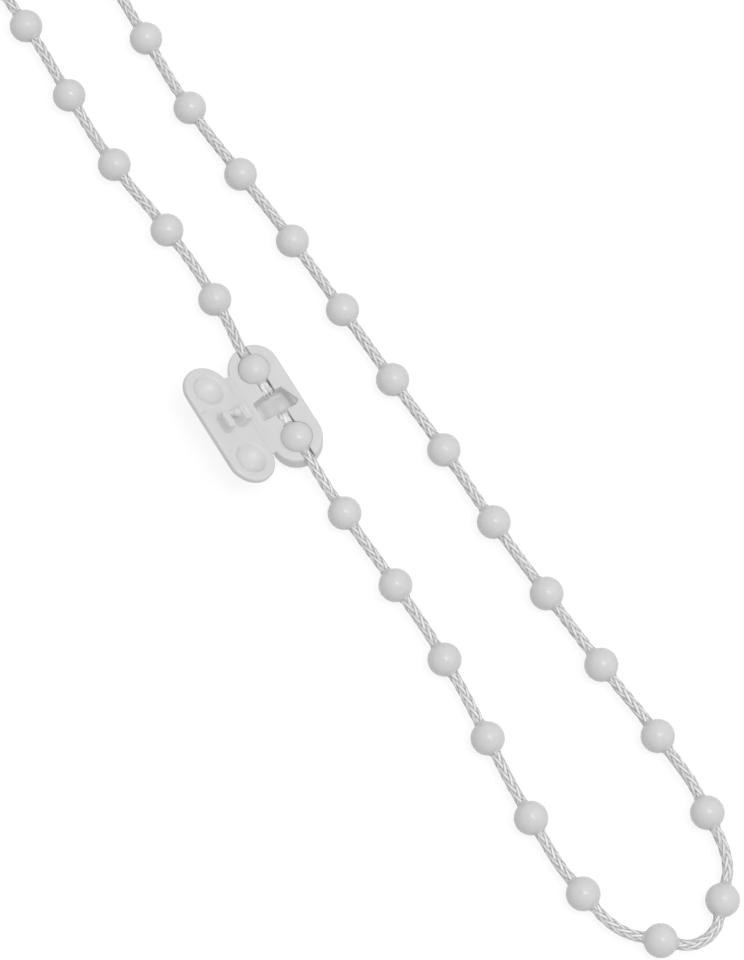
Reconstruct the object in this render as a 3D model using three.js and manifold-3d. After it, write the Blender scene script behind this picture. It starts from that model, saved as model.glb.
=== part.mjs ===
// A roller blind chain: balls moulded on a braided cord, closed into a loop by a hinged clip.
// Millimetres, +Z up. The loop lies on the plane z = 0, with the clip standing open.
// The origin is under the middle of the clip's base; +Y runs along the clip and its two balls.

import * as THREE from "three";
import { mergeVertices } from "three/addons/utils/BufferGeometryUtils.js";
import Module from "manifold-3d";

const wasm = await Module();
wasm.setup();

// Clearance between pieces that touch on the real chain
const clearance = 0.3;

// The balls and the cord
const ballCount = 40;
const ballDiameter = 4.5;
const collarDiameter = 2.7;
const collarReach = 2.3; // from a ball's centre to the end face of its collar
const cordDiameter = 1.5;
const cordTail = 3.8; // from the first and the last ball's centre to the cord's cut ends
const straightReach = 3; // the cord runs straight this far to each side of a ball's centre

// The clip's base, a tray with a pocket for each end ball
const pocketSpacing = 11.1;
const pocketWall = 0.95;
const pocketFloor = 0.85;
const pocketRise = 0.9; // from the end balls' centres up to the base's face
const baseRound = 1.8; // rounding of the lower edge

// The recess between the pockets, which the cover's prongs snap into
const recessLeft = 2.6;
const recessRight = 2.85;
const recessLength = 3.3;
const recessDepth = 2.8;

// The clip's cover and its two prongs
const coverThickness = 1.1;
const coverRound = 0.6;
const domeWall = 0.8;
const prongHeight = 2;
const prongEndGap = 0.35;
const outerProngWidth = 1.05;
const outerProngPlace = 1.2; // from the closed clip's middle line to the prong's middle
const innerProngWidth = 1.3;
const innerProngPlace = -1.65;
const coverAngle = 31; // how far the cover stands up from lying flat open

// Facets
const ballSides = 10;
const ballBands = 6;
const cordSides = 8;
const cornerSides = 6;
const pocketSides = 20;

// Sizes that follow
const ballRadius = ballDiameter / 2;
const collarRadius = collarDiameter / 2;
const cordRadius = cordDiameter / 2;
const pocketRadius = ballRadius + clearance;
const channelRadius = clearRadius(cordRadius + clearance, pocketSides);
const clipHalfWidth = pocketRadius + pocketWall;
const pocketPlace = pocketSpacing / 2;
const seatHeight = pocketFloor + pocketRadius;
const faceHeight = seatHeight + pocketRise;
const hingeHeight = faceHeight + clearance / 2;
const hingePlace = clipHalfWidth + clearance / 2;

// The cord's route: each end starts between its pocket and the recess, and the loop lies flat.
const tailPlace = pocketPlace - cordTail;
const clipEnd = pocketPlace + clipHalfWidth;
const rampHeight = ballRadius + (seatHeight - ballRadius) / 8;
const routePoints = [
  [0, tailPlace, seatHeight],
  [0, pocketPlace, seatHeight],
  [0.1, clipEnd, seatHeight],
  [0.8, 14.3, rampHeight],
  [1.05, 17.8, ballRadius],
  [0.6, 29.2, ballRadius],
  [-0.8, 40.8, ballRadius],
  [-0.9, 52.8, ballRadius],
  [-0.7, 64.9, ballRadius],
  [-1.9, 84, ballRadius],
  [-3.9, 104, ballRadius],
  [-4.6, 120, ballRadius],
  [-2.4, 133, ballRadius],
  [5.6, 139.8, ballRadius],
  [13.8, 133, ballRadius],
  [16.2, 120, ballRadius],
  [15.2, 100, ballRadius],
  [13.2, 76, ballRadius],
  [12.4, 55.6, ballRadius],
  [12.2, 43.8, ballRadius],
  [14.2, 19.6, ballRadius],
  [15.4, -4.7, ballRadius],
  [16.1, -16.8, ballRadius],
  [16.4, -28.7, ballRadius],
  [18.1, -52.7, ballRadius],
  [19.3, -64.7, ballRadius],
  [19.4, -76.6, ballRadius],
  [17.6, -83.8, ballRadius],
  [14.9, -87.4, ballRadius],
  [10.1, -90.9, ballRadius],
  [5.1, -88.1, ballRadius],
  [1.4, -83.6, ballRadius],
  [-0.3, -77.7, ballRadius],
  [-0.7, -66, ballRadius],
  [1, -41.8, ballRadius],
  [0.8, -29.7, ballRadius],
  [0.15, -17.4, ballRadius],
  [0.1, -14, rampHeight],
  [0, -clipEnd, seatHeight],
  [0, -pocketPlace, seatHeight],
  [0, -tailPlace, seatHeight],
];
const route = new THREE.CatmullRomCurve3(routePoints.map((place) => new THREE.Vector3(...place)));
route.arcLengthDivisions = 4000;

// Materials
const ballPlastic = new THREE.MeshStandardMaterial({ color: "#cfcfcf", roughness: 0.38, metalness: 0 });
const clipPlastic = new THREE.MeshStandardMaterial({ color: "#d9d9d8", roughness: 0.3, metalness: 0 });
const cordFibre = new THREE.MeshStandardMaterial({ color: "#dedede", roughness: 0.5, metalness: 0 });

// The radius of a faceted hole whose flats still clear a round bar
function clearRadius(radius, sides) {
  return radius / Math.cos(Math.PI / sides);
}

// A closed geometry as a solid that can be joined and cut
function toSolid(geometry) {
  const bare = geometry.index ? geometry.toNonIndexed() : geometry.clone();
  bare.deleteAttribute("normal");
  bare.deleteAttribute("uv");
  const merged = mergeVertices(bare, 1e-5);
  const vertProperties = new Float32Array(merged.attributes.position.array);
  const triVerts = new Uint32Array(merged.index.array);
  return new wasm.Manifold(new wasm.Mesh({ numProp: 3, vertProperties, triVerts }));
}

function toGeometry(solid) {
  const mesh = solid.getMesh();
  const geometry = new THREE.BufferGeometry();
  geometry.setAttribute("position", new THREE.BufferAttribute(mesh.vertProperties, 3));
  geometry.setIndex(new THREE.BufferAttribute(mesh.triVerts, 1));
  geometry.computeVertexNormals();
  return geometry;
}

function addMesh(group, name, geometry, material) {
  const mesh = new THREE.Mesh(geometry, material);
  mesh.name = name;
  group.add(mesh);
  return mesh;
}

// A block between two corners
function block(low, high) {
  const size = high.map((value, axis) => value - low[axis]);
  const middle = high.map((value, axis) => (value + low[axis]) / 2);
  return new THREE.BoxGeometry(...size).translate(...middle);
}

// A round-ended slab along Y, from z = 0 up, with its lower edge rounded
function roundEndedSlab(halfWidth, height, round) {
  const radius = halfWidth - round;
  const outline = new THREE.Shape();
  outline.absarc(0, pocketPlace, radius, 0, Math.PI, false);
  outline.absarc(0, -pocketPlace, radius, Math.PI, 2 * Math.PI, false);
  const slab = new THREE.ExtrudeGeometry(outline, {
    depth: height,
    steps: 1,
    curveSegments: cornerSides,
    bevelThickness: round,
    bevelSize: round,
    bevelSegments: 3,
  });
  slab.translate(0, 0, round);
  const above = block(
    [-2 * halfWidth, -2 * clipEnd, height],
    [2 * halfWidth, 2 * clipEnd, 2 * (height + round)],
  );
  return toSolid(slab).subtract(toSolid(above));
}

function sphere(radius, x, y, z) {
  const ball = new THREE.SphereGeometry(radius, pocketSides, pocketSides / 2);
  return toSolid(ball.rotateX(Math.PI / 2).translate(x, y, z));
}

// The room that an end ball and its two collars take up
function ballRoom(x, y, z) {
  const collarRoom = collarRadius + clearance;
  const length = 2 * (collarReach + clearance);
  const collars = new THREE.CylinderGeometry(collarRoom, collarRoom, length, pocketSides);
  return sphere(pocketRadius, x, y, z).add(toSolid(collars.translate(x, y, z)));
}

// A pocket for an end ball: round below its centre and straight above
function ballPocket(y) {
  const reach = pocketRise + clearance;
  const well = new THREE.CylinderGeometry(pocketRadius, pocketRadius, reach, pocketSides);
  well.rotateX(Math.PI / 2).translate(0, y, seatHeight + reach / 2);
  const collarRoom = collarRadius + clearance;
  const notch = block(
    [-collarRoom, y - collarReach - clearance, seatHeight],
    [collarRoom, y + collarReach + clearance, seatHeight + reach],
  );
  return ballRoom(0, y, seatHeight).add(toSolid(well)).add(toSolid(notch));
}

// The slot that the cord lies in, with a round floor, open at the base's face
function cordChannel() {
  const length = 2 * (clipEnd + clearance);
  const floor = new THREE.CylinderGeometry(channelRadius, channelRadius, length, pocketSides);
  floor.translate(0, 0, seatHeight);
  const slot = block(
    [-channelRadius, -length / 2, seatHeight],
    [channelRadius, length / 2, faceHeight + clearance],
  );
  return toSolid(floor).add(toSolid(slot));
}

function clipBase() {
  const recess = block(
    [-recessLeft, -recessLength / 2, faceHeight - recessDepth],
    [recessRight, recessLength / 2, faceHeight + clearance],
  );
  const base = roundEndedSlab(clipHalfWidth, faceHeight, baseRound)
    .subtract(ballPocket(pocketPlace))
    .subtract(ballPocket(-pocketPlace))
    .subtract(cordChannel())
    .subtract(toSolid(recess));
  return toGeometry(base);
}

// A prong on the cover's face. Its place is where it stands on the closed clip.
function prong(place, width) {
  const halfLength = recessLength / 2 - prongEndGap;
  const middle = -(hingePlace + place);
  const foot = -clearance / 2;
  return toSolid(
    block(
      [middle - width / 2, -halfLength, foot - coverThickness / 2],
      [middle + width / 2, halfLength, foot + prongHeight],
    ),
  );
}

// The cover lies flat open here, face up, with the hinge line as its Y axis.
function clipCover() {
  const face = -clearance / 2;
  const dishHeight = hingeHeight - seatHeight;
  const plate = roundEndedSlab(clipHalfWidth, coverThickness, coverRound)
    .translate([-hingePlace, 0, face - coverThickness]);
  const reach = 2 * clipEnd;
  const overFace = toSolid(block([-reach, -reach, face], [reach, reach, reach]));
  const domeRadius = pocketRadius + domeWall;
  const cover = plate
    .add(sphere(domeRadius, -hingePlace, pocketPlace, dishHeight))
    .add(sphere(domeRadius, -hingePlace, -pocketPlace, dishHeight))
    .subtract(overFace)
    .subtract(ballRoom(-hingePlace, pocketPlace, dishHeight))
    .subtract(ballRoom(-hingePlace, -pocketPlace, dishHeight))
    .add(prong(outerProngPlace, outerProngWidth))
    .add(prong(innerProngPlace, innerProngWidth));
  return toGeometry(cover);
}

// A ball with a collar at each pole, bored for the cord along its Y axis
function chainBall() {
  const bore = clearRadius(cordRadius + clearance, ballSides);
  const poleAngle = Math.acos(collarRadius / ballRadius);
  const profile = [];
  for (let band = 0; band <= ballBands; band += 1) {
    const angle = poleAngle * ((2 * band) / ballBands - 1);
    profile.push(new THREE.Vector2(ballRadius * Math.cos(angle), ballRadius * Math.sin(angle)));
  }
  profile.push(new THREE.Vector2(collarRadius, collarReach));
  profile.push(new THREE.Vector2(bore, collarReach));
  profile.push(new THREE.Vector2(bore, -collarReach));
  profile.push(new THREE.Vector2(collarRadius, -collarReach));
  profile.push(profile[0].clone());
  return new THREE.LatheGeometry(profile, ballSides);
}

// The distance of each ball's centre along the route
function ballStations() {
  const pitch = (route.getLength() - 2 * cordTail) / (ballCount - 1);
  return Array.from({ length: ballCount }, (_, index) => cordTail + index * pitch);
}

function pointAtDistance(distance) {
  return route.getPointAt(distance / route.getLength());
}

// The stretch of cord inside one ball, as its two ends
function ballStretch(station) {
  return [pointAtDistance(station - straightReach), pointAtDistance(station + straightReach)];
}

// A curve that an extrusion follows corner by corner, with no points between
class CornerPath extends THREE.Curve {
  constructor(corners) {
    super();
    this.corners = corners;
  }

  getPointAt(share) {
    return this.corners[Math.round(share * (this.corners.length - 1))].clone();
  }

  getTangentAt(share) {
    const last = this.corners.length - 1;
    const index = Math.round(share * last);
    const before = this.corners[Math.max(index - 1, 0)];
    const after = this.corners[Math.min(index + 1, last)];
    return after.clone().sub(before).normalize();
  }
}

function cordTube() {
  const corners = [pointAtDistance(0)];
  for (const station of ballStations()) {
    corners.push(...ballStretch(station));
  }
  corners.push(pointAtDistance(route.getLength()));
  const section = new THREE.Shape();
  section.absarc(0, 0, cordRadius, 0, 2 * Math.PI, false);
  return new THREE.ExtrudeGeometry(section, {
    steps: corners.length - 1,
    curveSegments: cordSides / 2,
    extrudePath: new CornerPath(corners),
  });
}

function addBalls(group) {
  const geometry = chainBall();
  const up = new THREE.Vector3(0, 0, 1);
  ballStations().forEach((station, index) => {
    const [start, end] = ballStretch(station);
    const along = end.clone().sub(start).normalize();
    const side = along.clone().cross(up).normalize();
    const top = side.clone().cross(along);
    const name = `ball_${String(index + 1).padStart(2, "0")}`;
    const mesh = addMesh(group, name, geometry, ballPlastic);
    mesh.quaternion.setFromRotationMatrix(new THREE.Matrix4().makeBasis(side, along, top));
    mesh.position.addVectors(start, end).multiplyScalar(0.5);
  });
}

const chain = new THREE.Group();
addMesh(chain, "connector_base", clipBase(), clipPlastic);
const cover = addMesh(chain, "connector_cover", clipCover(), clipPlastic);
cover.position.set(-hingePlace, 0, hingeHeight);
cover.rotation.y = THREE.MathUtils.degToRad(coverAngle);
addMesh(chain, "chain_cord", cordTube(), cordFibre);
addBalls(chain);

export default chain;
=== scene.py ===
import math

import bpy
import numpy as np
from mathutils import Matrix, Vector


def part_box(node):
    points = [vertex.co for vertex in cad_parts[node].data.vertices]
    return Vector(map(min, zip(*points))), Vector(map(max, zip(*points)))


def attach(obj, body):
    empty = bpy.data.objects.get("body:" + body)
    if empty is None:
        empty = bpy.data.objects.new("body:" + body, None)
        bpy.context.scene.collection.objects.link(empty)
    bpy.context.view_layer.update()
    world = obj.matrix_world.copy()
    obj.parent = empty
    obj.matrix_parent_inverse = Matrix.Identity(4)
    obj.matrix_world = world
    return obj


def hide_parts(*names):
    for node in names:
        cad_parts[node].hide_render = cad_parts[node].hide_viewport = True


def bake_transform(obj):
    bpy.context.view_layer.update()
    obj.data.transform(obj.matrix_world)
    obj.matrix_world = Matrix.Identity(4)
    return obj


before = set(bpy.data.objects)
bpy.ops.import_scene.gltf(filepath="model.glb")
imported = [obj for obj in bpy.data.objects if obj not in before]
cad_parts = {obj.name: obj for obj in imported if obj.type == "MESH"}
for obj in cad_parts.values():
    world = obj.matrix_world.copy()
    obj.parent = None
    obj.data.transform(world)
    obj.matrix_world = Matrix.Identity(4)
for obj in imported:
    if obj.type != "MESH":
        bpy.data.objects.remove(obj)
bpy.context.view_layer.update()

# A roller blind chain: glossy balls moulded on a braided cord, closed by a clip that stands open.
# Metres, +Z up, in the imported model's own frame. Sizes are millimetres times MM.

scene = bpy.context.scene
MM = 0.001

# The camera, as the photograph was taken
VIEW_AZIMUTH = math.radians(-31.35)
VIEW_ELEVATION = math.radians(72)
VIEW_DISTANCE = 577.5 * MM
VIEW_TARGET = Vector((5.72, -15.4, 2.25)) * MM
LENS = 163.1
SENSOR_WIDTH = 36
NEAREST_SEEN = 10 * MM

# The balls
BALL_COUNT = 40
BALL_RADIUS = 2.25
BALL_SIDES = 48
BALL_BANDS = 26
NECK_RADIUS = 0.81
NECK_REACH = 2.38
NECK_FLARE = 0.1
NECK_SINK = 0.05
# The neck's rounded end: how far in from its wall and back from its tip
NECK_END = [(0.03, 0.12), (0.08, 0.03)]

# The cord and its braid of sixteen strands
CORD_RADIUS = 0.75
CORD_TAIL = 3.8
STRAIGHT_REACH = 3.0
CORD_STEP = 0.52
BRIDGE_STEPS = 12
CORE_RADIUS = 0.5
BRAID_PAIRS = 8
BRAID_TURN = 14.8
BRAID_TWIST = 0.2
TWIST_WAVES = (5.3, 2.9)
STRAND_HALF_WIDTH = 0.25
STRAND_HALF_HEIGHT = 0.1
STRAND_RIDE = 0.09
STRAND_SECTION = np.radians([0, 45, 90, 135, 180, 270])
ROUND_SECTION = np.radians([0, 60, 120, 180, 240, 300])
LEAST_WEAVE = 0.1  # how much of the weave's shading is left at the cut ends

# The loose filaments at the cord's cut ends
FRAY_SEED = 7
FRAY_COUNT = 46
FRAY_RADIUS = 0.09
FRAY_LENGTH = 1.7
FRAY_POINTS = 6
FRAY_ROOT = (0.56, 0.74)
FRAY_REACH = (-0.6, 0.45)
FRAY_SPLAY = (-0.3, 0.2)

# The clip's base
CLIP_HALF_WIDTH = 3.5
POCKET_PLACE = 5.55
POCKET_PLACES = (POCKET_PLACE, -POCKET_PLACE)
CLIP_END = POCKET_PLACE + CLIP_HALF_WIDTH
POCKET_RADIUS = 2.256
POCKET_GRIP = 0.98
POCKET_RIM = 0.03
SEAT_HEIGHT = 3.4
FACE_HEIGHT = 4.3
BASE_ROUND = 1.8
RIM_ROUND = 0.3
CHANNEL_RADIUS = 0.8
CHANNEL_PLACE = 0.08
CHANNEL_RIM = 0.12

# The recess between the pockets: a floor with a mound, a deeper left end and a raised right one
RECESS_FLOOR = 2.05
RECESS_CORNER = 0.5
RECESS_RIM = 0.2
MOUND_HEIGHT = 0.4
MOUND_PLACE = (0.7, -0.1)
MOUND_SPREAD = (0.8, 1.2)
TRENCH_HALF_DEPTH = 0.3
TRENCH_EDGE = -1.4
TRENCH_SLOPE = 0.45
LEDGE_HALF_HEIGHT = 0.75
LEDGE_EDGE = 2.12
LEDGE_SLOPE = 0.12

# The clip's cover
HINGE_PLACE = 3.65
HINGE_HEIGHT = 4.45
COVER_ANGLE = math.radians(31)
COVER_FACE = -0.15
COVER_THICKNESS = 1.1
COVER_ROUND = 0.45
COVER_RIM = 0.32
DISH_RADIUS = 2.55
DISH_HEIGHT = 1.05
DISH_RIM = 0.2
DOME_RADIUS = 3.35
DOME_DROP = 0.3
DOME_BLEND = 0.3
PARTING_RADIUS = 0.1
PARTING_PLACE = 0.03
PARTING_RIM = 0.05
NICK_PLACE = 2.95
NICK_SLANT = 0.1
NICK_END = -2.35
NICK_RADIUS = 0.13
NICK_STRETCH = 0.5
NICK_RIM = 0.04

# The prongs on the flat cover: the middle, half sizes and rounding of each block, and its lean
PRONG_TOP = 2.0
OUTER_PRONG = ((-1.18, -0.05, 0.75), (0.5, 1.2, 1.12), 0.14)
OUTER_LEAN = 0.06
BARB = ((-1.55, 0, 1.35), (0.28, 1.0, 0.3), 0.2)
BARB_BLEND = 0.2
INNER_PRONG = ((1.4, 0.05, 0.85), (0.62, 1.1, 1.12), 0.12)
INNER_LEAN = (0.2, 0.08)
CROSS_WALL = ((0.2, 0.95, 0.4), (1.3, 0.3, 0.8), 0.25)
GROOVE_PLACE = (1.8, 2.1)
GROOVE_STRETCH = 0.15
GROOVE_RADIUS = 0.36
LUMP_PLACE = (0.8, 0.7, 1.1)
LUMP_RADIUS = 0.55
LUMP_BLEND = 0.25
PRONG_BLEND = 0.15

# The living hinge's web
WEB_HALF_LENGTH = 6.18
WEB_MIDDLE = 0.17
EDGE_DEPTH = 0.35
EDGE_ROUND = 0.04
WEB_OVERLAP = 0.2
WEB_THICKNESS = 0.28
WEB_LIFT = 0.006
WEB_LEAST = 0.05  # the web's thickness at its edges, as a share
WEB_POINTS = 25
WEB_STATIONS = 23
WEB_SHARP_ANGLE = math.radians(40)

# The cells that the clip's shapes are sampled in
CELL = 0.09

# The studio
FLOOR_HALF_SIZE = 3
FLOOR_DROP = 0.02
FLOOR_BOUNCE = 0.66
FLOOR_SHADE = 0.22
FLOOR_GLOW = 0.84
ROOM_STRENGTH = 0.47
KEY_OFFSET = math.tan(math.radians(17))
KEY_WAY = (0.77, 0.64)
WIDE_WAY = (0.42, 0.4)

# The materials' unevenness, and the painted highlight on the cord's strands
TONE_SPREAD = 0.012
GLOSS_SPREAD = 0.04
# The painted highlight on each strand's crown: how far it wanders aside, and how narrow it is
HIGHLIGHT_DRIFT = 0.9
HIGHLIGHT_SHARPNESS = 4
FILAMENT_WAVES = 9
FILAMENT_TONE = 0.12

# The cord's route, as its solid follows it: down to the floor, round the loop and back up
RAMP_HEIGHT = BALL_RADIUS + (SEAT_HEIGHT - BALL_RADIUS) / 8
ROUTE = np.array([
    [0, POCKET_PLACE - CORD_TAIL, SEAT_HEIGHT],
    [0, POCKET_PLACE, SEAT_HEIGHT],
    [0.1, CLIP_END, SEAT_HEIGHT],
    [0.8, 14.3, RAMP_HEIGHT],
    [1.05, 17.8, BALL_RADIUS],
    [0.6, 29.2, BALL_RADIUS],
    [-0.8, 40.8, BALL_RADIUS],
    [-0.9, 52.8, BALL_RADIUS],
    [-0.7, 64.9, BALL_RADIUS],
    [-1.9, 84, BALL_RADIUS],
    [-3.9, 104, BALL_RADIUS],
    [-4.6, 120, BALL_RADIUS],
    [-2.4, 133, BALL_RADIUS],
    [5.6, 139.8, BALL_RADIUS],
    [13.8, 133, BALL_RADIUS],
    [16.2, 120, BALL_RADIUS],
    [15.2, 100, BALL_RADIUS],
    [13.2, 76, BALL_RADIUS],
    [12.4, 55.6, BALL_RADIUS],
    [12.2, 43.8, BALL_RADIUS],
    [14.2, 19.6, BALL_RADIUS],
    [15.4, -4.7, BALL_RADIUS],
    [16.1, -16.8, BALL_RADIUS],
    [16.4, -28.7, BALL_RADIUS],
    [18.1, -52.7, BALL_RADIUS],
    [19.3, -64.7, BALL_RADIUS],
    [19.4, -76.6, BALL_RADIUS],
    [17.6, -83.8, BALL_RADIUS],
    [14.9, -87.4, BALL_RADIUS],
    [10.1, -90.9, BALL_RADIUS],
    [5.1, -88.1, BALL_RADIUS],
    [1.4, -83.6, BALL_RADIUS],
    [-0.3, -77.7, BALL_RADIUS],
    [-0.7, -66, BALL_RADIUS],
    [1, -41.8, BALL_RADIUS],
    [0.8, -29.7, BALL_RADIUS],
    [0.15, -17.4, BALL_RADIUS],
    [0.1, -14, RAMP_HEIGHT],
    [0, -CLIP_END, SEAT_HEIGHT],
    [0, -POCKET_PLACE, SEAT_HEIGHT],
    [0, CORD_TAIL - POCKET_PLACE, SEAT_HEIGHT],
])
ROUTE_STEPS = 4000

# Outline of the recess between the pockets, seen from above
RECESS_OUTLINE = [
    (-2.6, -1.42),
    (2.3, -1.55),
    (2.85, -1.1),
    (2.3, 0.3),
    (1.75, 1.55),
    (0.7, 1.62),
    (-1.25, 1.62),
    (-2.55, 1.38),
]


# Curves

def curve_at(shares):
    """Points on the centripetal Catmull-Rom curve through the route's points."""
    before = 2 * ROUTE[0] - ROUTE[1]
    after = 2 * ROUTE[-1] - ROUTE[-2]
    points = np.vstack([before, ROUTE, after])
    place = np.clip(shares, 0, 1) * (len(ROUTE) - 1)
    index = np.minimum(place.astype(int), len(ROUTE) - 2)
    weight = (place - index)[:, None]
    p0, p1, p2, p3 = (points[index + step] for step in range(4))
    d0, d1, d2 = (
        np.linalg.norm(end - start, axis=1)[:, None] ** 0.5
        for start, end in ((p0, p1), (p1, p2), (p2, p3))
    )
    t1 = ((p1 - p0) / d0 - (p2 - p0) / (d0 + d1) + (p2 - p1) / d1) * d1
    t2 = ((p2 - p1) / d1 - (p3 - p1) / (d1 + d2) + (p3 - p2) / d2) * d1
    square = 3 * (p2 - p1) - 2 * t1 - t2
    cube = 2 * (p1 - p2) + t1 + t2
    return p1 + t1 * weight + square * weight**2 + cube * weight**3


def distances(points):
    """The distance of each point along the line through them all."""
    steps = np.linalg.norm(np.diff(points, axis=0), axis=1)
    return np.concatenate([[0], np.cumsum(steps)])


ROUTE_SHARES = np.linspace(0, 1, ROUTE_STEPS + 1)
ROUTE_DISTANCES = distances(curve_at(ROUTE_SHARES))
ROUTE_LENGTH = ROUTE_DISTANCES[-1]


def route_at(distance):
    share = np.interp(distance, ROUTE_DISTANCES, ROUTE_SHARES)
    return curve_at(np.atleast_1d(share))[0]


def way_between(start, end):
    return (end - start) / np.linalg.norm(end - start)


def ball_stretches():
    """The two ends of the straight stretch of cord inside each ball."""
    pitch = (ROUTE_LENGTH - 2 * CORD_TAIL) / (BALL_COUNT - 1)
    stations = [CORD_TAIL + index * pitch for index in range(BALL_COUNT)]
    return [
        (route_at(station - STRAIGHT_REACH), route_at(station + STRAIGHT_REACH))
        for station in stations
    ]


def bridge(start, start_way, end, end_way, steps):
    """Points of a smooth curve from one stretch to the next, without the first point."""
    reach = np.linalg.norm(end - start)
    t = np.linspace(0, 1, steps + 1)[1:, None]
    return (
        (2 * t**3 - 3 * t**2 + 1) * start
        + (t**3 - 2 * t**2 + t) * reach * start_way
        + (3 * t**2 - 2 * t**3) * end
        + (t**3 - t**2) * reach * end_way
    )


def cord_line():
    """The cord's middle line in equal steps, straight in each ball and smooth between them."""
    stretches = ball_stretches()
    points = [route_at(0)[None], stretches[0][0][None]]
    for index, (start, end) in enumerate(stretches):
        points.append(end[None])
        if index + 1 < len(stretches):
            way = way_between(start, end)
            next_start, next_end = stretches[index + 1]
            next_way = way_between(next_start, next_end)
            points.append(bridge(end, way, next_start, next_way, BRIDGE_STEPS))
    points.append(route_at(ROUTE_LENGTH)[None])
    rough = np.vstack(points)
    along = distances(rough)
    even = np.linspace(0, along[-1], round(along[-1] / CORD_STEP) + 1)
    return np.stack([np.interp(even, along, rough[:, axis]) for axis in range(3)], axis=1)


def directions(points):
    ways = np.gradient(points, axis=0)
    return ways / np.linalg.norm(ways, axis=1)[:, None]


def crosswise(ways, outward):
    """Unit directions across a line and up from it, where up is the side that faces outward."""
    across = np.cross(ways, outward)
    across /= np.linalg.norm(across, axis=1)[:, None]
    return across, np.cross(across, ways)


# Making pieces

def make_object(name, vertices, faces, material):
    """A smooth-shaded object at the origin, from vertices in millimetres."""
    mesh = bpy.data.meshes.new(name)
    mesh.from_pydata((np.asarray(vertices) * MM).tolist(), [], faces)
    mesh.shade_smooth()
    mesh.materials.append(material)
    piece = bpy.data.objects.new(name, mesh)
    scene.collection.objects.link(piece)
    return piece


def add_numbers(piece, name, values):
    """One number for each vertex, for the material to read."""
    numbers = piece.data.attributes.new(name, "FLOAT", "POINT")
    numbers.data.foreach_set("value", np.asarray(values, dtype=np.float32))


def tube_faces(rings, sides):
    """Faces of a closed tube: quads from each ring to the next, and a cap on each end."""
    faces = [
        (
            ring * sides + side,
            ring * sides + (side + 1) % sides,
            (ring + 1) * sides + (side + 1) % sides,
            (ring + 1) * sides + side,
        )
        for ring in range(rings - 1)
        for side in range(sides)
    ]
    last = (rings - 1) * sides
    faces.append(tuple(range(sides))[::-1])
    faces.append(tuple(range(last, last + sides)))
    return faces


def tube(centres, across, up, half_width, half_height, angles):
    """A closed tube along a line of centres, with an oval section of points at these angles."""
    rings = (
        centres[:, None]
        + half_width * np.cos(angles)[None, :, None] * across[:, None]
        + half_height * np.sin(angles)[None, :, None] * up[:, None]
    )
    return rings.reshape(-1, 3), tube_faces(len(centres), len(angles))


def joined(parts):
    """Several meshes as one list of vertices and one of faces."""
    vertices = []
    faces = []
    count = 0
    for part_vertices, part_faces in parts:
        vertices.append(part_vertices)
        faces.extend(tuple(index + count for index in face) for face in part_faces)
        count += len(part_vertices)
    return np.vstack(vertices), faces


# Materials

def new_material(name, colour, roughness):
    """A plain material, with the nodes, links and shader that its detail is added to."""
    material = bpy.data.materials.new(name)
    material.use_nodes = True
    nodes = material.node_tree.nodes
    shader = nodes["Principled BSDF"]
    shader.inputs["Base Color"].default_value = (*colour, 1)
    shader.inputs["Roughness"].default_value = roughness
    return material, nodes, material.node_tree.links, shader


def add_noise(nodes, links, scale, detail):
    place = nodes.new("ShaderNodeTexCoord")
    noise = nodes.new("ShaderNodeTexNoise")
    noise.inputs["Scale"].default_value = scale / MM
    noise.inputs["Detail"].default_value = detail
    links.new(place.outputs["Object"], noise.inputs["Vector"])
    return noise.outputs["Fac"]


def add_ramp(nodes, links, source, stops):
    ramp = nodes.new("ShaderNodeValToRGB")
    elements = ramp.color_ramp.elements
    while len(elements) < len(stops):
        elements.new(0.5)
    for element, (place, colour) in zip(elements, stops):
        element.position = place
        element.color = (*colour, 1)
    links.new(source, ramp.inputs["Fac"])
    return ramp.outputs["Color"]


def add_math(nodes, links, operation, first, second):
    """The result of one operation on two inputs, each a number or another node's result."""
    node = nodes.new("ShaderNodeMath")
    node.operation = operation
    for socket, value in zip(node.inputs, (first, second)):
        if isinstance(value, (int, float)):
            socket.default_value = value
        else:
            links.new(value, socket)
    return node.outputs[0]


def add_range(nodes, links, source, low, high):
    spread = nodes.new("ShaderNodeMapRange")
    spread.inputs["To Min"].default_value = low
    spread.inputs["To Max"].default_value = high
    links.new(source, spread.inputs["Value"])
    return spread.outputs["Result"]


def add_bump(nodes, links, source, shader, strength, depth):
    bump = nodes.new("ShaderNodeBump")
    bump.inputs["Strength"].default_value = strength
    bump.inputs["Distance"].default_value = depth * MM
    links.new(source, bump.inputs["Height"])
    links.new(bump.outputs["Normal"], shader.inputs["Normal"])


def grey(value):
    return (value, value, value)


def moulded_plastic(name, tone, roughness, gloss, scatter, depth):
    """Glossy moulded plastic, faintly clouded in tone and gloss, with a fine uneven surface."""
    material, nodes, links, shader = new_material(name, grey(tone), roughness)
    shader.inputs["Specular IOR Level"].default_value = gloss
    shader.inputs["Subsurface Weight"].default_value = scatter
    shader.inputs["Subsurface Radius"].default_value = grey(1)
    shader.inputs["Subsurface Scale"].default_value = depth * MM
    cloud = add_noise(nodes, links, scale=0.35, detail=3)
    tones = [(0.3, grey(tone - TONE_SPREAD)), (0.7, grey(tone + TONE_SPREAD))]
    links.new(add_ramp(nodes, links, cloud, tones), shader.inputs["Base Color"])
    grain = add_noise(nodes, links, scale=2.4, detail=4)
    rough = add_range(nodes, links, grain, roughness - GLOSS_SPREAD, roughness + GLOSS_SPREAD)
    links.new(rough, shader.inputs["Roughness"])
    add_bump(nodes, links, grain, shader, strength=0.04, depth=0.01)
    return material


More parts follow.
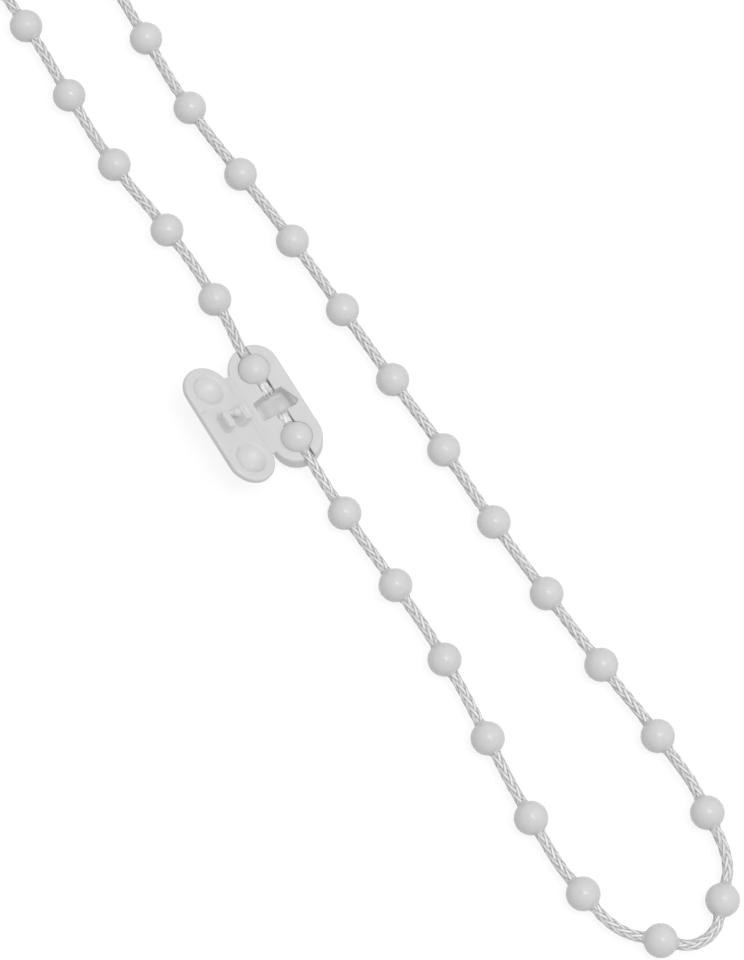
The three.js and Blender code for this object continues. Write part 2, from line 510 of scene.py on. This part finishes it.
def braided_fibre(name):
    """Glossy filaments, with a painted highlight on the crown of each strand and painted shade,
    greyer, where it dives.
    """
    material, nodes, links, shader = new_material(name, grey(0.6), roughness=0.32)
    shader.inputs["Specular IOR Level"].default_value = 0.6
    over = nodes.new("ShaderNodeAttribute")
    over.attribute_name = "over"
    lane = nodes.new("ShaderNodeAttribute")
    lane.attribute_name = "lane"
    # The painted highlight wanders a little to either side of the strand's middle, and is
    # brightest where the strand rides over
    drift = add_noise(nodes, links, scale=0.22, detail=1)
    aside = add_range(nodes, links, drift, low=-HIGHLIGHT_DRIFT, high=HIGHLIGHT_DRIFT)
    offset = add_math(nodes, links, "ADD", lane.outputs["Fac"], aside)
    square = add_math(nodes, links, "MULTIPLY", offset, offset)
    fall = add_math(nodes, links, "SUBTRACT", 1, square)
    ridge = add_math(nodes, links, "MAXIMUM", fall, 0)
    lines = add_math(nodes, links, "POWER", ridge, HIGHLIGHT_SHARPNESS)
    painted_highlight = add_math(nodes, links, "MULTIPLY", lines, over.outputs["Fac"])
    filaments = add_math(nodes, links, "MULTIPLY", lane.outputs["Fac"], FILAMENT_WAVES)
    wave = add_math(nodes, links, "SINE", filaments, 0)
    fine = add_math(nodes, links, "MULTIPLY", wave, FILAMENT_TONE)
    mixed = add_math(nodes, links, "ADD", painted_highlight, fine)
    # From the grey of painted shade, where a strand dives, to the white of the painted highlight
    # on its crown; the filaments' fine lines shift it a little
    stops = [(0, grey(0.64)), (0.3, grey(0.72)), (0.6, grey(0.95)), (0.8, grey(1))]
    links.new(add_ramp(nodes, links, mixed, stops), shader.inputs["Base Color"])
    add_bump(nodes, links, wave, shader, strength=0.4, depth=0.015)
    return material


def cut_fibre(name):
    """The loose, whiter filaments at the cord's cut ends."""
    material, nodes, links, shader = new_material(name, grey(1), roughness=0.45)
    tones = [(0.35, grey(0.94)), (0.6, grey(1))]
    mottle = add_noise(nodes, links, scale=1.5, detail=2)
    links.new(add_ramp(nodes, links, mottle, tones), shader.inputs["Base Color"])
    add_bump(nodes, links, mottle, shader, strength=0.3, depth=0.03)
    return material


# The balls

def ball_profile():
    """Distance from the axis and height, from the lower neck round the ball to the upper one."""
    root = math.acos((NECK_RADIUS + NECK_FLARE) / BALL_RADIUS)
    angles = np.linspace(0, root, BALL_BANDS // 2 + 1)
    upper = [(BALL_RADIUS * math.cos(a), BALL_RADIUS * math.sin(a)) for a in angles]
    foot = upper[-1][1]
    upper += [
        (NECK_RADIUS + NECK_FLARE * 0.4, foot + NECK_FLARE * 0.45),
        (NECK_RADIUS, foot + NECK_FLARE * 1.1),
        *((NECK_RADIUS - inward, NECK_REACH - back) for inward, back in NECK_END),
        (CORD_RADIUS, NECK_REACH),
        (CORD_RADIUS - NECK_SINK, NECK_REACH - NECK_SINK),
    ]
    lower = [(radius, -height) for radius, height in upper[:0:-1]]
    return lower + upper


def ball_mesh(centre, along):
    """A ball with a short neck at each end of its bore, turned about the cord."""
    side = np.cross(along, (0, 0, 1))
    side /= np.linalg.norm(side)
    top = np.cross(side, along)
    profile = np.array(ball_profile())
    angles = np.linspace(0, 2 * math.pi, BALL_SIDES, endpoint=False)
    outward = np.cos(angles)[:, None] * side + np.sin(angles)[:, None] * top
    rings = (
        centre
        + profile[:, 0][:, None, None] * outward[None]
        + profile[:, 1][:, None, None] * along[None, None]
    )
    count = len(profile)
    faces = [
        (
            ring * BALL_SIDES + turn,
            (ring + 1) % count * BALL_SIDES + turn,
            (ring + 1) % count * BALL_SIDES + (turn + 1) % BALL_SIDES,
            ring * BALL_SIDES + (turn + 1) % BALL_SIDES,
        )
        for ring in range(count)
        for turn in range(BALL_SIDES)
    ]
    return rings.reshape(-1, 3), faces


def add_balls(material):
    for number, (start, end) in enumerate(ball_stretches(), start=1):
        node = f"ball_{number:02d}"
        low, high = (np.array(corner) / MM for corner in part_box(node))
        mesh = ball_mesh((low + high) / 2, way_between(start, end))
        ball = make_object(f"moulded_{node}", *mesh, material)
        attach(ball, "base")
        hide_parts(node)


# The cord

def strand(line, side, top, turns, way, start_angle):
    """One strand: it winds round the cord, rides over two others and dives under the next two."""
    angle = start_angle + way * turns * 2 * math.pi
    column = np.cos(BRAID_PAIRS / 2 * angle - math.pi / 2)
    middle = CORD_RADIUS - STRAND_HALF_HEIGHT - STRAND_RIDE
    distance = middle + way * STRAND_RIDE * column
    outward = np.cos(angle)[:, None] * side + np.sin(angle)[:, None] * top
    centres = line + distance[:, None] * outward
    across, up = crosswise(directions(centres), outward)
    vertices, faces = tube(
        centres, across, up, STRAND_HALF_WIDTH, STRAND_HALF_HEIGHT, STRAND_SECTION
    )
    over = (distance - middle + STRAND_RIDE) / (2 * STRAND_RIDE)
    lane = np.tile(np.cos(STRAND_SECTION), len(line))
    return vertices, faces, np.repeat(over, len(STRAND_SECTION)), lane


def fray(end, way, rng):
    """Loose filament ends that splay from a cut end of the cord."""
    side = np.cross(way, (0, 0, 1))
    top = np.cross(side, way)
    parts = []
    for _ in range(FRAY_COUNT):
        angle = rng.uniform(0, 2 * math.pi)
        outward = math.cos(angle) * side + math.sin(angle) * top
        root = end - FRAY_LENGTH * way + rng.uniform(*FRAY_ROOT) * outward
        reach = rng.uniform(*FRAY_REACH)
        splay = rng.uniform(*FRAY_SPLAY)
        t = np.linspace(0, 1, FRAY_POINTS)[:, None]
        centres = root + t * (FRAY_LENGTH + reach) * way + t**2 * splay * outward
        across, up = crosswise(directions(centres), outward)
        parts.append(tube(centres, across, up, FRAY_RADIUS, FRAY_RADIUS, ROUND_SECTION[::2]))
    return joined(parts)


def add_cord(material, cut_material):
    """The braid round its core; its material reads how far up and how far aside each point is, and
    paints from them a highlight on each strand's crown and shade where it dives.
    """
    line = cord_line()
    ways = directions(line)
    side, top = crosswise(ways, (0, 0, 1))
    along = distances(line)
    turns = along / BRAID_TURN
    long_wave, short_wave = TWIST_WAVES
    twist = BRAID_TWIST * (np.sin(along / long_wave) + np.sin(along / short_wave + 1))
    spun_side = np.cos(twist)[:, None] * side + np.sin(twist)[:, None] * top
    spun_top = np.cos(twist)[:, None] * top - np.sin(twist)[:, None] * side
    parts = [tube(line, side, top, CORE_RADIUS, CORE_RADIUS, ROUND_SECTION)]
    # The core is painted in the grey of the painted shade, as it lies under the strands
    overs = [np.zeros(len(parts[0][0]))]
    lanes = [np.ones(len(parts[0][0]))]
    # Towards the cut ends the painted shade fades and the painted highlight spreads across each
    # strand, so the tails are painted pale
    painted_shading_left = np.clip(np.minimum(along, along[-1] - along) / CORD_TAIL, LEAST_WEAVE, 1)
    painted_shading_left = np.repeat(painted_shading_left, len(STRAND_SECTION))
    for way, offset in ((1, 0), (-1, 0.5)):
        for number in range(BRAID_PAIRS):
            start = (number + offset) * 2 * math.pi / BRAID_PAIRS
            vertices, faces, over, lane = strand(line, spun_side, spun_top, turns, way, start)
            parts.append((vertices, faces))
            overs.append(1 - (1 - over) * painted_shading_left)
            lanes.append(lane * painted_shading_left)
    strand_faces = sum(len(faces) for _, faces in parts)
    rng = np.random.default_rng(FRAY_SEED)
    for end, way in ((line[0], -ways[0]), (line[-1], ways[-1])):
        vertices, faces = fray(end, way, rng)
        parts.append((vertices, faces))
        overs.append(np.ones(len(vertices)))
        lanes.append(np.zeros(len(vertices)))
    cord = make_object("braided_cord", *joined(parts), material)
    cord.data.materials.append(cut_material)
    kinds = np.ones(len(cord.data.polygons), dtype=np.int32)
    kinds[:strand_faces] = 0
    cord.data.polygons.foreach_set("material_index", kinds)
    add_numbers(cord, "over", np.concatenate(overs))
    add_numbers(cord, "lane", np.concatenate(lanes))
    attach(cord, "base")
    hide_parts("chain_cord")


# Shapes as distance fields, in millimetres: negative inside

def smooth_least(first, second, round_by):
    share = np.clip(0.5 + 0.5 * (second - first) / round_by, 0, 1)
    return second * (1 - share) + first * share - round_by * share * (1 - share)


def smooth_most(first, second, round_by):
    return -smooth_least(-first, -second, round_by)


def cut(body, tool, round_by):
    return smooth_most(body, -tool, round_by)


def rounded_corner(out, up, radius):
    """Distance to a corner between a wall and a floor, rounded to a radius."""
    wall = out + radius
    floor = up + radius
    return np.minimum(np.maximum(wall, floor), 0) + np.hypot(
        np.maximum(wall, 0), np.maximum(floor, 0)
    ) - radius


def from_point(x, y, z, point):
    px, py, pz = point
    return np.sqrt((x - px) ** 2 + (y - py) ** 2 + (z - pz) ** 2)


def from_edge(x, y):
    """Distance out from the clip's round-ended outline, seen from above."""
    return np.hypot(x, np.maximum(np.abs(y) - POCKET_PLACE, 0)) - CLIP_HALF_WIDTH


def slab(x, y, z, low, high, low_round, high_round):
    """The clip's round-ended slab between two heights."""
    out = from_edge(x, y)
    return np.maximum(
        rounded_corner(out, low - z, low_round), rounded_corner(out, z - high, high_round)
    )


def box(x, y, z, middle, half, radius):
    offsets = [
        np.abs(value - centre) - size + radius
        for value, centre, size in zip((x, y, z), middle, half)
    ]
    outside = np.sqrt(sum(np.maximum(offset, 0) ** 2 for offset in offsets))
    inside = np.minimum(np.maximum(np.maximum(offsets[0], offsets[1]), offsets[2]), 0)
    return outside + inside - radius


def outline_distance(x, y, corners):
    """Distance to a closed outline on the plane."""
    nearest = np.full(np.broadcast(x, y).shape, np.inf)
    sign = np.ones(nearest.shape)
    for (ax, ay), (bx, by) in zip(corners, corners[1:] + corners[:1]):
        ex, ey = bx - ax, by - ay
        along = np.clip(((x - ax) * ex + (y - ay) * ey) / (ex**2 + ey**2), 0, 1)
        nearest = np.minimum(nearest, np.hypot(x - ax - ex * along, y - ay - ey * along))
        if ey:
            crossed = ((ay > y) != (by > y)) & (x < ax + ex * (y - ay) / ey)
            sign = np.where(crossed, -sign, sign)
    return sign * nearest


def surface_net(field, low):
    """A closed mesh of quads on a field's zero level, with a vertex in each cell it crosses."""
    cells = tuple(size - 1 for size in field.shape)
    total = np.zeros((*cells, 3))
    count = np.zeros(cells)
    inside = field < 0
    crossings = []
    for axis in range(3):
        step = np.eye(3, dtype=int)[axis]
        next_step = np.eye(3, dtype=int)[(axis + 1) % 3]
        last_step = np.eye(3, dtype=int)[(axis + 2) % 3]
        here = tuple(slice(0, -1) if k == axis else slice(None) for k in range(3))
        there = tuple(slice(1, None) if k == axis else slice(None) for k in range(3))
        changed = np.argwhere(inside[here] != inside[there])
        start = field[tuple(changed.T)]
        end = field[tuple((changed + step).T)]
        points = changed + step * (start / (start - end))[:, None]
        around = [
            changed - back * next_step - down * last_step
            for back, down in ((0, 0), (1, 0), (1, 1), (0, 1))
        ]
        for cell in around:
            np.add.at(total, tuple(cell.T), points)
            np.add.at(count, tuple(cell.T), 1)
        crossings.append((around, start < 0))
    used = count > 0
    number = np.full(cells, -1)
    number[used] = np.arange(used.sum())
    vertices = low + total[used] / count[used][:, None] * CELL
    faces = []
    for around, leaving in crossings:
        quads = np.stack([number[tuple(cell.T)] for cell in around], axis=1)
        quads[~leaving] = quads[~leaving][:, ::-1]
        faces.extend(quads.tolist())
    return vertices, faces


def sampled(shape, low, high):
    """A mesh of a distance function's shape, between two corners and a few cells past them."""
    low = np.array(low) - 2.5 * CELL
    axes = [
        start + CELL * np.arange(math.ceil((end - start) / CELL) + 3)
        for start, end in zip(low, high)
    ]
    grid = np.meshgrid(*axes, indexing="ij", sparse=True)
    return surface_net(shape(*grid), low)


# The clip's base

def hinge_edge(x, y, z, face, side):
    """The sharp upper edge that the web joins, on one side of a slab whose face is at a height."""
    middle = (side * (CLIP_HALF_WIDTH - EDGE_DEPTH), WEB_MIDDLE, face - EDGE_DEPTH)
    return box(x, y, z, middle, (EDGE_DEPTH, WEB_HALF_LENGTH, EDGE_DEPTH), EDGE_ROUND)


def base_shape(x, y, z):
    """The tray: its channel is open above, and its pockets close a little over the balls."""
    body = slab(x, y, z, 0, FACE_HEIGHT, BASE_ROUND, RIM_ROUND)
    body = np.minimum(body, hinge_edge(x, y, z, FACE_HEIGHT, -1))
    below_seat = np.minimum(z - SEAT_HEIGHT, 0)
    from_seat = below_seat + POCKET_GRIP * np.maximum(z - SEAT_HEIGHT, 0)
    for place in POCKET_PLACES:
        pocket = from_point(x, y, from_seat, (0, place, 0)) - POCKET_RADIUS
        body = cut(body, pocket, POCKET_RIM)
    between = np.abs(y) < POCKET_PLACE
    channel_place = np.where(between, CHANNEL_PLACE, 0)
    channel_radius = np.where(between, CHANNEL_RADIUS, CORD_RADIUS)
    channel = np.hypot(x - channel_place, below_seat) - channel_radius
    body = cut(body, channel, CHANNEL_RIM)
    mound_x, mound_y = MOUND_PLACE
    spread_x, spread_y = MOUND_SPREAD
    mound = MOUND_HEIGHT * np.exp(-((x - mound_x) ** 2) / spread_x - (y - mound_y) ** 2 / spread_y)
    trench = TRENCH_HALF_DEPTH * (1 + np.tanh((TRENCH_EDGE - x) / TRENCH_SLOPE))
    ledge = LEDGE_HALF_HEIGHT * (1 + np.tanh((x - LEDGE_EDGE) / LEDGE_SLOPE))
    floor = RECESS_FLOOR + mound - trench + ledge - z
    recess = rounded_corner(outline_distance(x, y, RECESS_OUTLINE), floor, RECESS_CORNER)
    return cut(body, recess, RECESS_RIM)


def add_base(material):
    half = CLIP_HALF_WIDTH
    mesh = sampled(base_shape, (-half, -CLIP_END, 0), (half, CLIP_END, FACE_HEIGHT))
    base = make_object("clip_base", *mesh, material)
    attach(base, "base")
    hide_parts("connector_base")


# The clip's cover, shaped lying flat with its middle line at x = 0 and then turned about the hinge

def prong_shapes(x, y, z):
    """The two snap prongs, uneven as they come from the mould."""
    outer = box(x + OUTER_LEAN * z, y, z, *OUTER_PRONG)
    outer = smooth_least(outer, box(x, y, z, *BARB), BARB_BLEND)
    lean_x, lean_y = INNER_LEAN
    inner = box(x - lean_x * z, y - lean_y * z, z, *INNER_PRONG)
    groove_x, groove_z = GROOVE_PLACE
    groove = np.sqrt((x - groove_x) ** 2 + GROOVE_STRETCH * y**2 + (z - groove_z) ** 2)
    inner = cut(inner, groove - GROOVE_RADIUS, LUMP_BLEND)
    inner = smooth_least(inner, from_point(x, y, z, LUMP_PLACE) - LUMP_RADIUS, LUMP_BLEND)
    prongs = smooth_least(outer, inner, PRONG_BLEND)
    return smooth_least(prongs, box(x, y, z, *CROSS_WALL), LUMP_BLEND)


def cover_shape(x, y, z):
    """The cover's plate with a parting groove, a nick, two dishes with their domes, and prongs."""
    plate = slab(x, y, z, COVER_FACE - COVER_THICKNESS, COVER_FACE, COVER_ROUND, COVER_RIM)
    groove_height = z - COVER_FACE + 0.5 * COVER_THICKNESS
    parting = np.hypot(from_edge(x, y) - PARTING_PLACE, groove_height) - PARTING_RADIUS
    plate = cut(plate, parting, PARTING_RIM)
    nick = np.hypot(y - NICK_PLACE - NICK_SLANT * x, NICK_STRETCH * (z - COVER_FACE))
    plate = cut(plate, np.maximum(nick - NICK_RADIUS, x - NICK_END), NICK_RIM)
    plate = np.minimum(plate, hinge_edge(x, y, z, COVER_FACE, 1))
    dishes = [from_point(x, y, z, (0, place, DISH_HEIGHT)) for place in POCKET_PLACES]
    for away in dishes:
        dome = np.maximum(away - DOME_RADIUS, z - COVER_FACE + DOME_DROP)
        plate = smooth_least(plate, dome, DOME_BLEND)
    for away in dishes:
        plate = cut(plate, away - DISH_RADIUS, DISH_RIM)
    return smooth_least(plate, prong_shapes(x, y, z), PRONG_BLEND)


def to_rest(points):
    """From the flat cover's own place to where the open cover stands."""
    x, y, z = np.asarray(points).T
    x = x - HINGE_PLACE
    cos, sin = math.cos(COVER_ANGLE), math.sin(COVER_ANGLE)
    return np.stack(
        [x * cos + z * sin - HINGE_PLACE, y, z * cos - x * sin + HINGE_HEIGHT], axis=1
    )


def add_cover(material):
    half = CLIP_HALF_WIDTH
    low = (-half, -CLIP_END, DISH_HEIGHT - DOME_RADIUS)
    vertices, faces = sampled(cover_shape, low, (half, CLIP_END, PRONG_TOP))
    cover = make_object("clip_cover", to_rest(vertices), faces, material)
    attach(cover, "cover")
    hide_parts("connector_cover")


# The living hinge, a thin web curved from the base's face to the cover's, shaped as they stand
# open

def web_section():
    """The web's outline across the hinge: flush above, and tapered to nothing at both edges."""
    inner, outer = CLIP_HALF_WIDTH - WEB_OVERLAP, CLIP_HALF_WIDTH
    cover_side = to_rest([(outer, 0, COVER_FACE), (inner, 0, COVER_FACE)])[:, [0, 2]]
    corners = np.vstack([(-inner, FACE_HEIGHT), (-outer, FACE_HEIGHT), cover_side])
    along = distances(corners)
    even = np.linspace(0, along[-1], WEB_POINTS)
    line = np.stack([np.interp(even, along, corners[:, axis]) for axis in range(2)], axis=1)
    kernel = np.ones(3) / 3
    padded = np.pad(line, ((1, 1), (0, 0)), mode="edge")
    line = np.stack([np.convolve(padded[:, axis], kernel, "valid") for axis in range(2)], axis=1)
    ways = directions(line)
    down = np.stack([-ways[:, 1], ways[:, 0]], axis=1)
    share = np.clip(np.minimum(even, even[-1] - even) / WEB_OVERLAP, WEB_LEAST, 1)
    depth = WEB_THICKNESS * share
    line = line - WEB_LIFT * down
    return np.vstack([line, (line + depth[:, None] * down)[::-1]])


def add_web(material):
    outline = web_section()
    stations = WEB_MIDDLE + np.linspace(-WEB_HALF_LENGTH, WEB_HALF_LENGTH, WEB_STATIONS)
    vertices = np.array([(x, y, z) for y in stations for x, z in outline])
    faces = tube_faces(len(stations), len(outline))
    web = make_object("hinge_web", vertices, faces, material)
    web.data.set_sharp_from_angle(angle=WEB_SHARP_ANGLE)
    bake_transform(web)


# The studio

def add_floor():
    """A pale floor that the camera sees as white, with a faint shadow of the chain."""
    size = FLOOR_HALF_SIZE
    corners = [(-size, -size, 0), (size, -size, 0), (size, size, 0), (-size, size, 0)]
    mesh = bpy.data.meshes.new("floor")
    mesh.from_pydata(corners, [], [(0, 1, 2, 3)])
    floor = bpy.data.objects.new("floor", mesh)
    floor.location.z = -FLOOR_DROP * MM
    scene.collection.objects.link(floor)
    material = bpy.data.materials.new("floor")
    material.use_nodes = True
    nodes = material.node_tree.nodes
    links = material.node_tree.links
    nodes.clear()
    output = nodes.new("ShaderNodeOutputMaterial")
    lit = nodes.new("ShaderNodeBsdfDiffuse")
    lit.inputs["Color"].default_value = (*grey(FLOOR_BOUNCE), 1)
    shaded = nodes.new("ShaderNodeBsdfDiffuse")
    shaded.inputs["Color"].default_value = (*grey(FLOOR_SHADE), 1)
    glow = nodes.new("ShaderNodeEmission")
    glow.inputs["Strength"].default_value = FLOOR_GLOW
    white = nodes.new("ShaderNodeAddShader")
    links.new(shaded.outputs[0], white.inputs[0])
    links.new(glow.outputs[0], white.inputs[1])
    add_switch(nodes, links, lit, white, output)
    mesh.materials.append(material)


def seen_by_eye(nodes, links):
    """1 for what the camera sees, straight or in a reflection or through glass."""
    path = nodes.new("ShaderNodeLightPath")
    straight = path.outputs["Is Camera Ray"]
    mirrored = add_math(nodes, links, "MAXIMUM", straight, path.outputs["Is Glossy Ray"])
    return add_math(nodes, links, "MAXIMUM", mirrored, path.outputs["Is Transmission Ray"])


def add_switch(nodes, links, unseen, seen, output):
    """One shader for what only lights the chain, and another for what the camera sees."""
    mix = nodes.new("ShaderNodeMixShader")
    links.new(seen_by_eye(nodes, links), mix.inputs["Fac"])
    links.new(unseen.outputs[0], mix.inputs[1])
    links.new(seen.outputs[0], mix.inputs[2])
    links.new(mix.outputs[0], output.inputs["Surface"])


def set_world():
    world = bpy.data.worlds.new("studio")
    scene.world = world
    world.use_nodes = True
    nodes = world.node_tree.nodes
    links = world.node_tree.links
    nodes.clear()
    output = nodes.new("ShaderNodeOutputWorld")
    room = nodes.new("ShaderNodeBackground")
    room.inputs["Strength"].default_value = ROOM_STRENGTH
    white = nodes.new("ShaderNodeBackground")
    white.inputs["Strength"].default_value = 1
    for background in (room, white):
        background.inputs["Color"].default_value = (1, 1, 1, 1)
    add_switch(nodes, links, room, white, output)


def add_lamp(name, toward, distance, size, radiance):
    """A soft rectangular lamp that shines on the clip from a direction."""
    data = bpy.data.lights.new(name, "AREA")
    data.shape = "RECTANGLE"
    data.size = size[0]
    data.size_y = size[1]
    data.energy = radiance * math.pi * size[0] * size[1]
    lamp = bpy.data.objects.new(name, data)
    way = Vector(toward).normalized()
    lamp.location = VIEW_TARGET + way * distance
    lamp.rotation_mode = "QUATERNION"
    lamp.rotation_quaternion = way.to_track_quat("Z", "Y")
    scene.collection.objects.link(lamp)


def camera_back():
    """The direction from the clip to the camera."""
    return Vector((
        math.sin(VIEW_AZIMUTH) * math.cos(VIEW_ELEVATION),
        -math.cos(VIEW_AZIMUTH) * math.cos(VIEW_ELEVATION),
        math.sin(VIEW_ELEVATION),
    ))


def add_lamps():
    """A key lamp up and right of the camera's line, and a wide soft one further over."""
    back = camera_back()
    right = Vector((math.cos(VIEW_AZIMUTH), math.sin(VIEW_AZIMUTH), 0))
    up = back.cross(right)
    key = back + KEY_OFFSET * (KEY_WAY[0] * right + KEY_WAY[1] * up)
    add_lamp("key_lamp", key, distance=1.2, size=(0.28, 0.55), radiance=6.5)
    wide = back + WIDE_WAY[0] * right + WIDE_WAY[1] * up
    add_lamp("wide_lamp", wide, distance=1.6, size=(1.4, 1.4), radiance=0.92)


def add_camera():
    data = bpy.data.cameras.new("camera")
    data.lens = LENS
    data.sensor_width = SENSOR_WIDTH
    data.clip_start = NEAREST_SEEN
    camera = bpy.data.objects.new("camera", data)
    back = camera_back()
    camera.location = VIEW_TARGET + back * VIEW_DISTANCE
    camera.rotation_mode = "QUATERNION"
    camera.rotation_quaternion = back.to_track_quat("Z", "Y")
    scene.collection.objects.link(camera)
    scene.camera = camera


add_camera()
add_lamps()
set_world()
add_floor()
ball_plastic = moulded_plastic(
    "ball_plastic", tone=0.785, roughness=0.16, gloss=0.3, scatter=0.3, depth=1
)
clip_plastic = moulded_plastic(
    "clip_plastic", tone=0.785, roughness=0.32, gloss=0.35, scatter=0.25, depth=1.2
)
# Painted shade: the web's plastic is a darker copy of the clip's, without scatter, so that the web
# renders no lighter than the faces beside it
clip_plastic_shaded = moulded_plastic(
    "clip_plastic_shaded", tone=0.755, roughness=0.32, gloss=0.35, scatter=0, depth=1
)
add_balls(ball_plastic)
add_cord(braided_fibre("cord_fibre"), cut_fibre("cut_fibre"))
add_base(clip_plastic)
add_cover(clip_plastic)
add_web(clip_plastic_shaded)
scene.view_settings.view_transform = "Standard"
